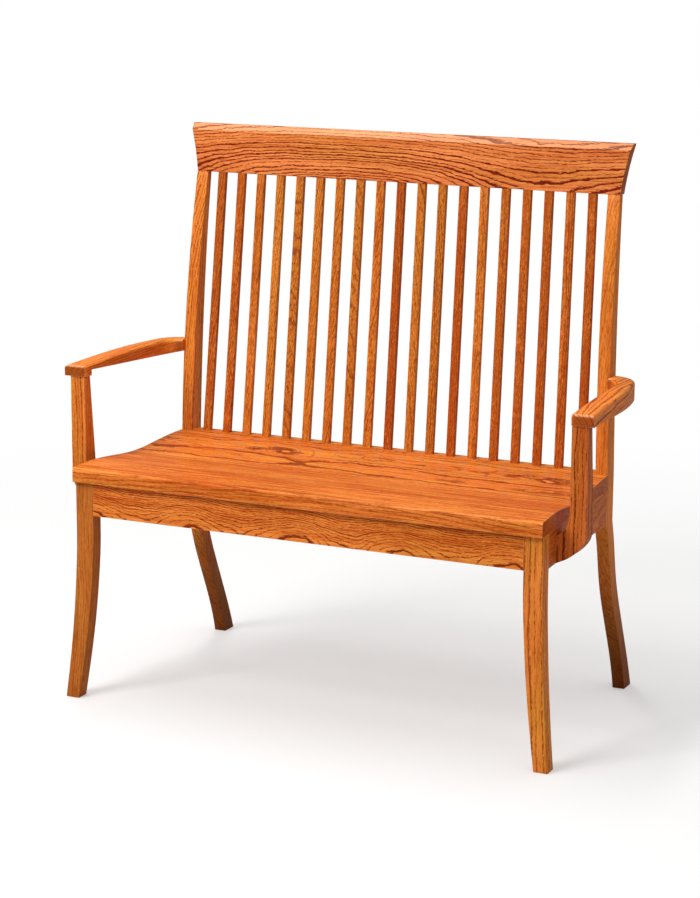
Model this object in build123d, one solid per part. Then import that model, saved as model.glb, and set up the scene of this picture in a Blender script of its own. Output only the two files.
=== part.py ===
from build123d import *
import os

# Mission settle in oak. It faces -Y, +X is to the right of someone who looks at it, +Z is up.
# While pieces are made, Y is counted from the front edge of the seat and Z from the floor.

# General fits
glue_gap = 0.15
bore_gap = 0.1
overrun = 5.0

# Seat
seat_height = 457.0
seat_thickness = 28.0
seat_depth = 390.0
seat_width_front = 955.0
seat_side_taper = 19.5
seat_edge_round = 6.0
seat_crown_place = 55.0
seat_crown_rise = 2.0
seat_dip_place = 205.0
seat_dip = 7.5
seat_back_rise = 2.5
seat_board_count = 4
seat_overhang_front = 10.0
seat_overhang_side = 1.0

# Aprons
apron_height = 65.0
apron_thickness = 20.0
tenon_thickness = 8.0
tenon_length = 18.0
tenon_shoulder = 6.0
side_tenon_length = 12.0

# Front legs
leg_width = 37.0
leg_depth = 28.5
leg_straight_below_apron = 36.0
leg_flare_outside = 22.0
leg_flare_inside = 31.5
leg_flare_forward = 12.5
# Each pair is a share of the flare height and of the flare reached there.
leg_side_flare_shares = ((0.76, 0.1), (0.45, 0.37), (0.15, 0.77), (0.0, 1.0))
leg_front_flare_shares = ((0.76, 0.09), (0.45, 0.36), (0.15, 0.76), (0.0, 1.0))

# Back posts, each in one piece with its rear leg
post_width = 24.0
post_depth_seat = 35.5
post_depth_top = 14.5
post_sweep = 54.5
# How far each post leans in towards the other between the seat and the crest rail.
back_narrowing = 10.0
rear_leg_sweep = 134.0
# Shares of the leg height, of the sweep reached there and of the depth at the seat.
rear_leg_shares = (
    (0.87, 0.13, 0.9),
    (0.68, 0.25, 0.89),
    (0.46, 0.485, 0.9),
    (0.24, 0.77, 0.89),
    (0.0, 1.0, 1.05),
)

# Crest rail
back_above_seat = 523.0
crest_height = 94.5
crest_thickness = 23.5
crest_lean = 7.5
crest_bevel = 12.0
crest_flare = 18.5
crest_flare_hollow = 2.0
post_tenon_length = 20.0
post_tenon_margin = 3.0

# Lower back rail
rail_rise = 5.5
rail_thickness = 22.0
rail_tenon_length = 9.0

# Slats
slat_count = 19
slat_width = 17.0
slat_thickness = 10.0
slat_foot_setback = 1.0
slat_head_setback = 1.0
slat_tenon_length = 12.0
slat_tenon_margin = 2.5
# Gap beside each post as a share of the gap between two slats.
slat_end_gap_share = 0.85

# Arm posts
arm_post_offset = 19.5
arm_post_width = 31.0
arm_post_front = 82.0
arm_post_depth = 34.5
arm_post_depth_top = 19.0
arm_post_above_seat = 159.5
bracket_width = 50.0
bracket_rise = 42.0
bracket_round = 74.0
# Lower curve of the bracket, as shares of the way in to the apron and of the way down.
bracket_curve_shares = ((0.05, 0.42), (0.31, 0.68), (0.64, 0.87))
arm_tenon_diameter = 16.0
arm_tenon_length = 13.0

# Armrests
arm_front_overhang = 3.0
arm_front_thickness = 20.5
arm_rise = 7.5
arm_inner_overhang = 3.0
arm_outer_overhang = 11.5
arm_neck_offset = 25.5
arm_neck_length = 45.0
arm_neck_end = 4.0
arm_heel_width = 51.0
arm_heel_length = 44.0
arm_heel_drop = 7.5
arm_corner_round = 10.0
arm_edge_round = 7.0
arm_bevel_height = 11.0
arm_bevel_setback = 1.0
# Outer edge of the arm, as shares of its length and of the width it loses on the way.
arm_outer_shares = ((0.4, 0.25), (0.75, 0.56))
# Middle of the arched top, as shares of the arm's length and of its rise.
arm_arch_shares = (0.35, 0.75)

# Corner blocks and brace
block_height = 40.0
block_reach_front = 53.0
block_reach_rear = 54.0
block_clip = 30.0
block_leg_clearance = 8.0
brace_width = 45.0
brace_tenon_length = 10.0

# Screws and dowels
screw_diameter = 4.5
screw_head_diameter = 9.0
screw_head_height = 3.0
screw_grip = 14.0
arm_screw_grip = 18.0
seat_screw_grip = 12.0
head_pocket = 5.0
head_seat = 0.5
dowel_diameter = 8.0
dowel_half_length = 15.0
dowel_edge_distance = 8.5
# Where screws stand, as shares of the block or bracket that they go through.
block_screw_shares = (0.5, 0.72)
rear_block_screw_shares = (0.42, 0.72)
block_seat_screw_share = 0.38
rear_block_seat_screw_share = 0.26
brace_screw_shares = (0.3, 0.7)
bracket_screw_shares = (0.4, 0.8)
bracket_screw_depth_share = 0.7
dowel_shares = (0.38, 0.72)

# Places that follow from the sizes above
seat_width_back = seat_width_front - 2 * seat_side_taper
seat_bottom = seat_height - seat_thickness
apron_bottom = seat_bottom - apron_height
block_bottom = seat_bottom - block_height
block_middle = seat_bottom - block_height / 2
leg_outer_x = seat_width_front / 2 - seat_overhang_side
leg_inner_x = leg_outer_x - leg_width
leg_front_y = seat_overhang_front
leg_back_y = leg_front_y + leg_depth
leg_flare_height = apron_bottom - leg_straight_below_apron
apron_back_y = leg_front_y + apron_thickness
post_outer_x = seat_width_back / 2 - seat_overhang_side
post_inner_x = post_outer_x - post_width
post_front_y = seat_depth
post_back_y = post_front_y + post_depth_seat
rear_foot_back_y = post_front_y + rear_leg_sweep + post_depth_seat * rear_leg_shares[-1][2]
crest_front_y = post_front_y + post_sweep
crest_bottom = seat_height + back_above_seat
crest_top = crest_bottom + crest_height
rail_top = seat_height + rail_rise
side_taper = (leg_outer_x - post_outer_x) / (post_front_y - leg_front_y)
slat_gap_count = slat_count - 1 + 2 * slat_end_gap_share
slat_gap = (2 * post_inner_x - slat_count * slat_width) / slat_gap_count
slat_pitch = slat_gap + slat_width
slat_foot_y = post_front_y + slat_foot_setback
slat_head_y = crest_front_y + slat_head_setback
slat_lean = (slat_head_y - slat_foot_y) / (crest_bottom - rail_top)
arm_post_inner_x = seat_width_front / 2 + arm_post_offset
arm_post_outer_x = arm_post_inner_x + arm_post_width
arm_post_height = seat_height + arm_post_above_seat
arm_front = arm_post_front - arm_front_overhang
arm_back_y = post_back_y
arm_top = arm_post_height + arm_front_thickness + arm_rise
arm_bevel_start = arm_post_front + arm_post_depth_top + arm_bevel_setback
arm_bottom = arm_post_height - arm_heel_drop
footprint_middle_y = (leg_front_y - leg_flare_forward + rear_foot_back_y) / 2


def post_narrowing(z):
    """How far the back posts have leaned in at a height above the lower back rail."""
    return back_narrowing * (z - rail_top) / (crest_bottom - rail_top)


def side_apron_x(y):
    """Place of the outer face of the right side apron at a depth."""
    return leg_outer_x - side_taper * (y - leg_front_y)


def side_apron_inner_x(y):
    """Place of the inner face of the right side apron at a depth."""
    return side_apron_x(y) - apron_thickness


def block_between(x_range, y_range, z_range):
    """Box with its faces at the given places."""
    low = Vector(x_range[0], y_range[0], z_range[0])
    high = Vector(x_range[1], y_range[1], z_range[1])
    size = high - low
    return Pos(*((low + high) / 2)) * Box(size.X, size.Y, size.Z)


def mirrored(shape):
    """The same piece for the left-hand side."""
    return mirror(shape, about=Plane.YZ)


def outline_yz(edges, half_width):
    """Solid from a closed outline seen from the side, the same way out to left and right."""
    return extrude(Plane.YZ * make_face(edges), amount=half_width, both=True)


def outline_xz(edges, front_y, depth):
    """Solid from a closed outline seen from the front, from a depth towards the back."""
    plane = Plane(origin=(0, front_y, 0), x_dir=(1, 0, 0), z_dir=(0, -1, 0))
    return extrude(plane * make_face(edges), amount=-depth)


def outline_xy(edges, low, high):
    """Solid from a closed outline seen from above, between two heights."""
    return extrude(Plane.XY.offset(low) * make_face(edges), amount=high - low)


def along(start, direction):
    """Plane whose normal runs the way that a screw or dowel goes."""
    return Plane(origin=start, z_dir=direction)


def screw(start, direction, length):
    """Round-headed screw: its head starts at a point and its shank runs on along a direction."""
    head = extrude(along(start, direction) * Circle(screw_head_diameter / 2), amount=screw_head_height)
    shank = extrude(along(start, direction) * Circle(screw_diameter / 2), amount=length)
    return head + shank


def screw_bore(start, direction, length):
    """Room for a screw, with a pocket from its head outwards."""
    plane = along(start, direction)
    head_radius = screw_head_diameter / 2 + bore_gap
    seat = extrude(plane * Circle(head_radius), amount=screw_head_height)
    pocket = extrude(plane * Circle(head_radius), amount=-(block_reach_rear + head_pocket))
    shank = extrude(plane * Circle(screw_diameter / 2 + bore_gap), amount=length + bore_gap)
    return seat + pocket + shank


def rod(start, direction, length, diameter):
    """Plain round bar from a point along a direction."""
    return extrude(along(start, direction) * Circle(diameter / 2), amount=length)


def seat_blank():
    """Whole scooped seat before it is cut into boards."""
    top_front = (seat_edge_round, seat_height)
    crown = (seat_crown_place, seat_height + seat_crown_rise)
    dip = (seat_dip_place, seat_height - seat_dip)
    top_back = (seat_depth, seat_height + seat_back_rise)
    front_low = (0, seat_bottom)
    front_high = (0, seat_height - seat_edge_round)
    top = Spline(top_front, crown, dip, top_back, tangents=[(1, 0), (1, 0)])
    nose = TangentArc(front_high, top_front, tangent=(0, 1))
    back = Line(top_back, (seat_depth, seat_bottom))
    under = Line((seat_depth, seat_bottom), front_low)
    front = Line(front_low, front_high)
    body = outline_yz(front + nose + top + back + under, seat_width_front)
    corners = (
        (seat_width_front / 2, 0),
        (seat_width_back / 2, seat_depth),
        (-seat_width_back / 2, seat_depth),
        (-seat_width_front / 2, 0),
    )
    plan = outline_xy(Polyline(*corners, close=True), seat_bottom, seat_height + seat_thickness)
    return body & plan


def seat_boards(bores):
    """Edge-glued boards of the seat, from the front to the back."""
    blank = seat_blank()
    for bore in bores:
        blank -= bore
    board_depth = seat_depth / seat_board_count
    boards = {}
    for index in range(seat_board_count):
        strip = block_between(
            (-seat_width_front, seat_width_front),
            (index * board_depth, (index + 1) * board_depth),
            (0, seat_height + seat_thickness),
        )
        boards[f"seat_board_{index + 1}"] = blank & strip
    return boards


def front_tenon(gap):
    """Tenon of the front apron's right end, grown by a gap for its mortise."""
    middle = leg_front_y + apron_thickness / 2
    return block_between(
        (leg_inner_x - overrun, leg_inner_x + tenon_length + gap),
        (middle - tenon_thickness / 2 - gap, middle + tenon_thickness / 2 + gap),
        (apron_bottom + tenon_shoulder - gap, seat_bottom - tenon_shoulder + gap),
    )


def side_tenon(end_y, way, gap):
    """Tenon at one end of the right side apron; way is -1 for the front end and 1 for the back."""
    middle = side_apron_x(end_y) - apron_thickness / 2
    reach = sorted((end_y - way * overrun, end_y + way * (side_tenon_length + gap)))
    return block_between(
        (middle - tenon_thickness / 2 - gap, middle + tenon_thickness / 2 + gap),
        reach,
        (apron_bottom + tenon_shoulder - gap, seat_bottom - tenon_shoulder + gap),
    )


def front_apron():
    """Apron between the front legs, with a tenon at each end."""
    board = block_between(
        (-leg_inner_x, leg_inner_x),
        (leg_front_y, apron_back_y),
        (apron_bottom, seat_bottom),
    )
    tenon = front_tenon(0)
    return board + tenon + mirrored(tenon) - brace_tenons(glue_gap)


def side_apron():
    """Right side apron, following the taper of the seat, with a tenon at each end."""
    corners = (
        (side_apron_x(leg_back_y), leg_back_y),
        (side_apron_x(post_front_y), post_front_y),
        (side_apron_inner_x(post_front_y), post_front_y),
        (side_apron_inner_x(leg_back_y), leg_back_y),
    )
    board = outline_xy(Polyline(*corners, close=True), apron_bottom, seat_bottom)
    return board + side_tenon(leg_back_y, -1, 0) + side_tenon(post_front_y, 1, 0)


def flare_curve(start, reach, shares, height):
    """Curve from the straight part of a leg down to its foot, in a side or front view."""
    points = [(start, height)]
    for height_share, reach_share in shares:
        points.append((start + reach * reach_share, height * height_share))
    return Spline(*points, tangents=[(0, -1), (points[-1][0] - points[-2][0], -points[-2][1])])


def front_leg():
    """Right front leg: the part common to its front outline and its side outline."""
    outer = flare_curve(leg_outer_x, leg_flare_outside, leg_side_flare_shares, leg_flare_height)
    inner = flare_curve(leg_inner_x, leg_flare_inside, leg_side_flare_shares, leg_flare_height)
    head = (
        (leg_inner_x, leg_flare_height),
        (leg_inner_x, seat_bottom),
        (leg_outer_x, seat_bottom),
        (leg_outer_x, leg_flare_height),
    )
    foot = Line(outer @ 1, inner @ 1)
    outline = Polyline(*head) + outer + foot + inner
    front_view = outline_xz(outline, -leg_flare_forward, leg_flare_forward + leg_back_y + overrun)
    front = flare_curve(leg_front_y, -leg_flare_forward, leg_front_flare_shares, leg_flare_height)
    back = flare_curve(leg_back_y, -leg_flare_forward, leg_front_flare_shares, leg_flare_height)
    top = (
        (leg_back_y, leg_flare_height),
        (leg_back_y, seat_bottom),
        (leg_front_y, seat_bottom),
        (leg_front_y, leg_flare_height),
    )
    sole = Line(front @ 1, back @ 1)
    side_view = outline_yz(Polyline(*top) + front + sole + back, seat_width_front)
    leg = front_view & side_view
    return leg - front_tenon(glue_gap) - side_tenon(leg_back_y, -1, glue_gap)


def post_tenon(gap):
    """Tenon at the head of the right back post."""
    margin = post_tenon_margin - gap
    inner_x = post_inner_x - back_narrowing
    outer_x = post_outer_x - back_narrowing
    return block_between(
        (inner_x + 2 * post_tenon_margin - gap, outer_x - 2 * post_tenon_margin + gap),
        (crest_front_y + margin, crest_front_y + post_depth_top - margin),
        (crest_bottom - overrun * (gap == 0), crest_bottom + post_tenon_length + gap),
    )


def rail_tenon(gap):
    """Tenon at the right end of the lower back rail."""
    middle = post_front_y + rail_thickness / 2
    return block_between(
        (post_inner_x - overrun, post_inner_x + rail_tenon_length + gap),
        (middle - tenon_thickness / 2 - gap, middle + tenon_thickness / 2 + gap),
        (apron_bottom + 2 * tenon_shoulder - gap, rail_top - 2 * tenon_shoulder + gap),
    )


def back_post():
    """Right back post and rear leg, sawn from one board and bent at the seat."""
    front_points = [(post_front_y, apron_bottom)]
    back_points = [(post_back_y, apron_bottom)]
    for height_share, sweep_share, depth_share in rear_leg_shares:
        y = post_front_y + rear_leg_sweep * sweep_share
        z = apron_bottom * height_share
        front_points.append((y, z))
        back_points.append((y + post_depth_seat * depth_share, z))
    front_leg_edge = Spline(*front_points)
    back_leg_edge = Spline(*back_points)
    head_front = (crest_front_y, crest_bottom)
    head_back = (crest_front_y + post_depth_top, crest_bottom)
    front_edge = TangentArc((post_front_y, seat_height), head_front, tangent=(0, 1))
    back_edge = TangentArc((post_back_y, seat_height), head_back, tangent=(0, 1))
    front_middle = Line(front_points[0], (post_front_y, seat_height))
    back_middle = Line(back_points[0], (post_back_y, seat_height))
    head = Line(head_front, head_back)
    foot = Line(front_points[-1], back_points[-1])
    outline = front_leg_edge + front_middle + front_edge + head
    outline += back_edge + back_middle + back_leg_edge + foot
    plank = outline_yz(outline, post_outer_x)
    front_view = (
        (post_inner_x, 0),
        (post_inner_x, rail_top),
        (post_inner_x - back_narrowing, crest_bottom),
        (post_outer_x - back_narrowing, crest_bottom),
        (post_outer_x, rail_top),
        (post_outer_x, 0),
    )
    post = plank & outline_xz(Polyline(*front_view, close=True), 0, rear_foot_back_y + overrun)
    post += post_tenon(0)
    return post - rail_tenon(glue_gap) - side_tenon(post_front_y, 1, glue_gap)


def slat_y(z):
    """Depth of the front of the slats at a height."""
    return slat_foot_y + slat_lean * (z - rail_top)


def slat_bar(x, z_low, z_high, margin):
    """Bar on the line of a slat, smaller all round by a margin.

    It leans back with the crest rail, and in towards the middle with the posts.
    """
    front_low = slat_y(z_low) + margin
    front_high = slat_y(z_high) + margin
    depth = slat_thickness - 2 * margin
    side_corners = (
        (front_low, z_low),
        (front_low + depth, z_low),
        (front_high + depth, z_high),
        (front_high, z_high),
    )
    x_low = x - x / post_inner_x * post_narrowing(z_low)
    x_high = x - x / post_inner_x * post_narrowing(z_high)
    half_width = slat_width / 2 - margin
    front_corners = (
        (x_low - half_width, z_low),
        (x_low + half_width, z_low),
        (x_high + half_width, z_high),
        (x_high - half_width, z_high),
    )
    side_view = outline_yz(Polyline(*side_corners, close=True), seat_width_front)
    return side_view & outline_xz(Polyline(*front_corners, close=True), 0, rear_foot_back_y)


def slat_places():
    """Centres of the slats from left to right."""
    middle = (slat_count - 1) / 2
    return [(index - middle) * slat_pitch for index in range(slat_count)]


def slat(x):
    """Slat with a stub tenon at each end."""
    tenons = slat_bar(x, rail_top - slat_tenon_length, crest_bottom + slat_tenon_length, slat_tenon_margin)
    return slat_bar(x, rail_top, crest_bottom, 0) + tenons


def slat_mortises():
    """Room for all the slat tenons, in both rails."""
    gap = glue_gap
    low = rail_top - slat_tenon_length - gap
    high = crest_bottom + slat_tenon_length + gap
    return [slat_bar(x, low, high, slat_tenon_margin - gap) for x in slat_places()]


def crest_rail():
    """Top rail: leaning face, wide bevel along its top edge and flared ends."""
    bevel_foot = crest_top - crest_bevel
    front_high_y = crest_front_y + crest_lean * (crest_height - crest_bevel) / crest_height
    corners = (
        (crest_front_y, crest_bottom),
        (front_high_y, bevel_foot),
        (front_high_y + crest_bevel, crest_top),
        (crest_front_y + crest_lean + crest_thickness, crest_top),
        (crest_front_y + crest_thickness, crest_bottom),
    )
    rail = outline_yz(Polyline(*corners, close=True), seat_width_front)
    end_x = post_outer_x - back_narrowing
    low = (end_x, crest_bottom)
    high = (end_x + crest_flare, crest_top)
    hollow = (end_x + crest_flare / 2 - crest_flare_hollow, crest_bottom + crest_height / 2)
    right = ThreePointArc(low, hollow, high)
    left = mirror(right, about=Plane.YZ)
    top = Line(left @ 1, right @ 1)
    bottom = Line(left @ 0, right @ 0)
    ends_depth = crest_thickness + crest_lean + 2 * overrun
    rail &= outline_xz(right + top + left + bottom, crest_front_y - overrun, ends_depth)
    for mortise in slat_mortises():
        rail -= mortise
    tenon = post_tenon(glue_gap)
    return rail - tenon - mirrored(tenon)


def brace_tenons(gap):
    """Stub tenons of the seat brace, in the front apron and the lower back rail."""
    half = brace_width / 2 - tenon_shoulder + gap
    low = block_bottom + tenon_shoulder - gap
    front_end = apron_back_y - brace_tenon_length - gap
    return block_between(
        (-half, half),
        (front_end, post_front_y + brace_tenon_length + gap),
        (low, seat_bottom - tenon_shoulder + gap),
    )


def lower_back_rail():
    """Rail behind the seat that holds the feet of the slats and closes the frame."""
    board = block_between(
        (-post_inner_x, post_inner_x),
        (post_front_y, post_front_y + rail_thickness),
        (apron_bottom, rail_top),
    )
    tenon = rail_tenon(0)
    rail = board + tenon + mirrored(tenon) - brace_tenons(glue_gap)
    for mortise in slat_mortises():
        rail -= mortise
    return rail


def seat_brace():
    """Bearer under the middle of the seat."""
    beam = block_between(
        (-brace_width / 2, brace_width / 2),
        (apron_back_y, post_front_y),
        (block_bottom, seat_bottom),
    )
    return beam + brace_tenons(0)


def arm_tenon(gap):
    """Round tenon at the head of the right arm post."""
    centre = (
        (arm_post_inner_x + arm_post_outer_x) / 2,
        arm_post_front + arm_post_depth_top / 2,
        arm_post_height - overrun,
    )
    return rod(centre, (0, 0, 1), arm_tenon_length + overrun + gap, arm_tenon_diameter + 2 * gap)


def arm_post():
    """Right arm post with the curved bracket that runs in to the side apron."""
    inner_end = side_apron_inner_x(arm_post_front)
    apron_face = side_apron_x(arm_post_front)
    bracket_top = apron_bottom + bracket_width
    outer_start = apron_bottom + bracket_round
    inner_start = bracket_top + bracket_rise
    lower_points = [(arm_post_outer_x, outer_start)]
    for in_share, down_share in bracket_curve_shares:
        x = arm_post_outer_x + (apron_face - arm_post_outer_x) * in_share
        lower_points.append((x, outer_start - bracket_round * down_share))
    lower_points.append((apron_face, apron_bottom))
    lower = Spline(*lower_points, tangents=[(0, -1), (-2, -1)])
    upper = TangentArc((arm_post_inner_x, inner_start), (apron_face, bracket_top), tangent=(0, -1))
    post_lines = (
        (arm_post_inner_x, inner_start),
        (arm_post_inner_x, arm_post_height),
        (arm_post_outer_x, arm_post_height),
        (arm_post_outer_x, outer_start),
    )
    root_lines = (
        (apron_face, bracket_top),
        (inner_end, bracket_top),
        (inner_end, apron_bottom),
        (apron_face, apron_bottom),
    )
    outline = Polyline(*post_lines) + lower + Polyline(*root_lines) + upper
    body = outline_xz(outline, arm_post_front, arm_post_depth)
    wedge = (
        (arm_post_front + arm_post_depth, seat_height),
        (arm_post_front + arm_post_depth_top, arm_post_height),
        (arm_post_front + arm_post_depth, arm_post_height),
    )
    body -= outline_yz(Polyline(*wedge, close=True), arm_post_outer_x + overrun)
    inside = (
        (side_apron_x(0), 0),
        (side_apron_x(post_front_y), post_front_y),
        (0, post_front_y),
        (0, 0),
    )
    body -= outline_xy(Polyline(*inside, close=True), 0, seat_height)
    return body + arm_tenon(0)


def armrest():
    """Right armrest: arched along its length, drawn in at the back onto the post."""
    front_inner = (arm_post_inner_x - arm_inner_overhang, arm_front)
    front_outer = (arm_post_outer_x + arm_outer_overhang, arm_front)
    contact_x = post_outer_x - post_narrowing(arm_top)
    neck = (post_outer_x + arm_neck_offset, post_front_y - arm_neck_length)
    neck_end = (contact_x, post_front_y - arm_neck_end)
    heel = (post_outer_x + arm_heel_width, arm_back_y - arm_heel_length)
    back_inner = (contact_x, arm_back_y)
    outer_points = [front_outer]
    for length_share, width_share in arm_outer_shares:
        x = front_outer[0] + (heel[0] - front_outer[0]) * width_share
        outer_points.append((x, arm_front + (heel[1] - arm_front) * length_share))
    outer_points.append(heel)
    outer = Spline(*outer_points)
    heel_arc = TangentArc(heel, back_inner, tangent=outer % 1)
    inner = Line(front_inner, neck)
    neck_arc = TangentArc(neck, neck_end, tangent=inner % 1)
    contact = Line(neck_end, back_inner)
    front = Line(front_inner, front_outer)
    outline = inner + neck_arc + contact + heel_arc + outer + front
    plan = outline_xy(outline, arm_bottom, arm_top + overrun)
    place_share, rise_share = arm_arch_shares
    front_top = arm_post_height + arm_front_thickness
    arch = ThreePointArc(
        (arm_front - overrun, front_top),
        (arm_front + (arm_back_y - arm_front) * place_share, front_top + arm_rise * rise_share),
        (arm_back_y + overrun, arm_top),
    )
    under = (
        arch @ 0,
        (arm_front - overrun, arm_post_height),
        (arm_bevel_start, arm_post_height),
        (arm_bevel_start, arm_bottom),
        (arm_back_y + overrun, arm_bottom),
        arch @ 1,
    )
    side = outline_yz(Polyline(*under) + arch, arm_post_outer_x + arm_outer_overhang + overrun)
    arm = plan & side
    front_corner = Vector(*front_inner, arm_top)
    corner = arm.edges().filter_by(Axis.Z).sort_by(lambda edge: (edge.center() - front_corner).length)[0]
    arm = fillet(corner, arm_corner_round)
    top_edges = arm.faces().sort_by(Axis.Z)[-1].edges()
    free_edges = [edge for edge in top_edges if edge.center().X > contact_x + glue_gap]
    arm = fillet(free_edges, arm_edge_round)
    post_face = (
        (0, rail_top),
        (post_outer_x, rail_top),
        (post_outer_x - back_narrowing, crest_bottom),
        (0, crest_bottom),
    )
    arm -= outline_xz(Polyline(*post_face, close=True), 0, rear_foot_back_y)
    return arm - arm_bevel() - arm_tenon(glue_gap)


def arm_bevel():
    """Room under the right armrest behind its post: the underside tilts up towards the sitter."""
    outer_x = arm_post_outer_x + arm_outer_overhang
    inner_x = arm_post_inner_x - arm_inner_overhang
    outer_low = Vector(outer_x, arm_bevel_start, arm_post_height)
    heel_low = Vector(post_outer_x + arm_heel_width, arm_back_y - arm_heel_length, arm_bottom)
    inner_high = Vector(inner_x, arm_bevel_start, arm_post_height + arm_bevel_height)
    downwards = (heel_low - outer_low).cross(inner_high - outer_low)
    if downwards.Z > 0:
        downwards = -downwards
    plane = Plane(origin=outer_low, z_dir=downwards)
    slab = extrude(plane * Rectangle(2 * seat_depth, 2 * seat_depth), amount=arm_post_above_seat)
    behind_post = block_between(
        (0, outer_x + overrun),
        (arm_bevel_start, arm_back_y + overrun),
        (arm_bottom - overrun, arm_top),
    )
    return slab & behind_post


def front_block_corners():
    """Outline of the block in the front right corner, clipped clear of the leg."""
    near_x = leg_inner_x - block_leg_clearance
    reach_x = near_x - block_reach_front
    far_y = apron_back_y + side_apron_inner_x(apron_back_y + block_clip + block_reach_front / 2) - reach_x
    return (
        Vector(reach_x, apron_back_y),
        Vector(near_x, apron_back_y),
        Vector(side_apron_inner_x(apron_back_y + block_clip), apron_back_y + block_clip),
        Vector(side_apron_inner_x(far_y), far_y),
    )


def rear_block_corners():
    """Outline of the block in the rear right corner of the frame."""
    corner_x = side_apron_inner_x(post_front_y)
    near_y = post_front_y - block_reach_rear
    return (
        Vector(corner_x - block_reach_rear, post_front_y),
        Vector(corner_x, post_front_y),
        Vector(side_apron_inner_x(near_y), near_y),
    )


def corner_block(corners, screws):
    """Block under the seat, bored for the screws that go through it."""
    block = outline_xy(Polyline(*corners, close=True), block_bottom, seat_bottom)
    for place in screws:
        block -= screw_bore(*place)
    return block


def block_screws(corners, way, shares, seat_share):
    """Screws of one right-hand block: into the long rail, into the side apron and up into the seat.

    The long rail lies towards -Y for way -1 and towards +Y for way 1.
    """
    start = corners[0]
    end = corners[-1]
    rail_share, side_share = shares
    rail_point = start + (end - start) * rail_share
    side_point = start + (end - start) * side_share
    rail_y = rail_point.Y + way * head_pocket
    side_x = side_point.X + head_pocket
    rail_length = abs(start.Y - rail_y) + screw_grip
    side_length = side_apron_inner_x(side_point.Y) - side_x + screw_grip
    seat_point = (start + end) / 2
    seat_point += Vector(1, way) * block_reach_rear * seat_share
    seat_start = (seat_point.X, seat_point.Y, block_bottom + head_pocket)
    return (
        ((rail_point.X, rail_y, block_middle), (0, way, 0), rail_length),
        ((side_x, side_point.Y, block_middle), (1, 0, 0), side_length),
        (seat_start, (0, 0, 1), block_height - head_pocket + seat_screw_grip),
    )


def brace_screws():
    """Screws up through the brace into the seat."""
    places = []
    for share in brace_screw_shares:
        start = (0, seat_depth * share, block_bottom + head_pocket)
        places.append((start, (0, 0, 1), block_height - head_pocket + seat_screw_grip))
    return places


def arm_post_screws():
    """Screws through the right side apron into the bracket of the arm post."""
    y = arm_post_front + arm_post_depth * bracket_screw_depth_share
    start_x = side_apron_inner_x(y) + head_seat
    places = []
    for share in bracket_screw_shares:
        start = (start_x, y, apron_bottom + bracket_width * share)
        places.append((start, (1, 0, 0), apron_thickness + arm_screw_grip))
    return places


def arm_dowels(gap):
    """Dowels between the right armrest and the back post."""
    dowels = []
    for share in dowel_shares:
        y = post_front_y + post_depth_seat * share
        z = arm_top - dowel_edge_distance
        start = (post_outer_x - post_narrowing(z) - dowel_half_length - gap, y, z)
        length = 2 * (dowel_half_length + gap)
        dowels.append(rod(start, (1, 0, 0), length, dowel_diameter + 2 * gap))
    return dowels


def bored(shape, screws):
    """Piece with room for the screws that reach into it."""
    for place in screws:
        shape -= screw_bore(*place)
    return shape


def both_sides(shapes):
    """The right-hand shapes and their mirror images."""
    return [*shapes, *(mirrored(shape) for shape in shapes)]


def group(shapes):
    """Identical pieces under one name, each still its own solid."""
    return Compound([shape.solid() for shape in shapes])


def build():
    """All pieces of the settle by name."""
    front_set = block_screws(front_block_corners(), -1, block_screw_shares, block_seat_screw_share)
    rear_set = block_screws(rear_block_corners(), 1, rear_block_screw_shares, rear_block_seat_screw_share)
    post_set = arm_post_screws()
    seat_set = [front_set[2], rear_set[2]]
    middle_set = brace_screws()
    seat_fixings = both_sides([screw(*place) for place in seat_set])
    seat_fixings += [screw(*place) for place in middle_set]
    block_fixings = both_sides([screw(*place) for place in (*front_set[:2], *rear_set[:2])])
    post_fixings = both_sides([screw(*place) for place in post_set])

    seat_bores = both_sides([screw_bore(*place) for place in seat_set])
    seat_bores += [screw_bore(*place) for place in middle_set]
    apron = front_apron()
    rail = lower_back_rail()
    for shape in both_sides([screw_bore(*front_set[0])]):
        apron -= shape
    for shape in both_sides([screw_bore(*rear_set[0])]):
        rail -= shape
    post = back_post()
    arm = armrest()
    for dowel in arm_dowels(bore_gap):
        post -= dowel
        arm -= dowel

    pieces = {
        "front_apron": apron,
        "lower_back_rail": rail,
        "crest_rail": crest_rail(),
        "seat_brace": bored(seat_brace(), middle_set),
        "corner_block_screws": group(block_fixings),
        "seat_screws": group(seat_fixings),
        "arm_post_screws": group(post_fixings),
        "arm_dowels": group(both_sides(arm_dowels(0))),
    }
    pieces.update(seat_boards(seat_bores))
    for number, place in enumerate(slat_places(), start=1):
        pieces[f"slat_{number:02d}"] = slat(place)
    right_pieces = {
        "side_apron": bored(side_apron(), (front_set[1], rear_set[1], *post_set)),
        "front_leg": front_leg(),
        "back_post": post,
        "arm_post": bored(arm_post(), post_set),
        "armrest": arm,
        "front_corner_block": corner_block(front_block_corners(), front_set),
        "rear_corner_block": corner_block(rear_block_corners(), rear_set),
    }
    for name, shape in right_pieces.items():
        pieces[f"{name}_right"] = shape
        pieces[f"{name}_left"] = mirrored(shape)
    return pieces


os.makedirs("parts", exist_ok=True)
to_footprint_middle = Pos(0, -footprint_middle_y, 0)
for node, piece in build().items():
    export_step(to_footprint_middle * piece, f"parts/{node}.step")
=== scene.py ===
"""Mission settle in oak: finishes, eased edges, slats and screws on the fixed frame."""

import logging
import math
from collections.abc import Sequence
from dataclasses import dataclass
from enum import Enum

import bmesh
import bpy
from mathutils import Matrix, Vector


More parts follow.
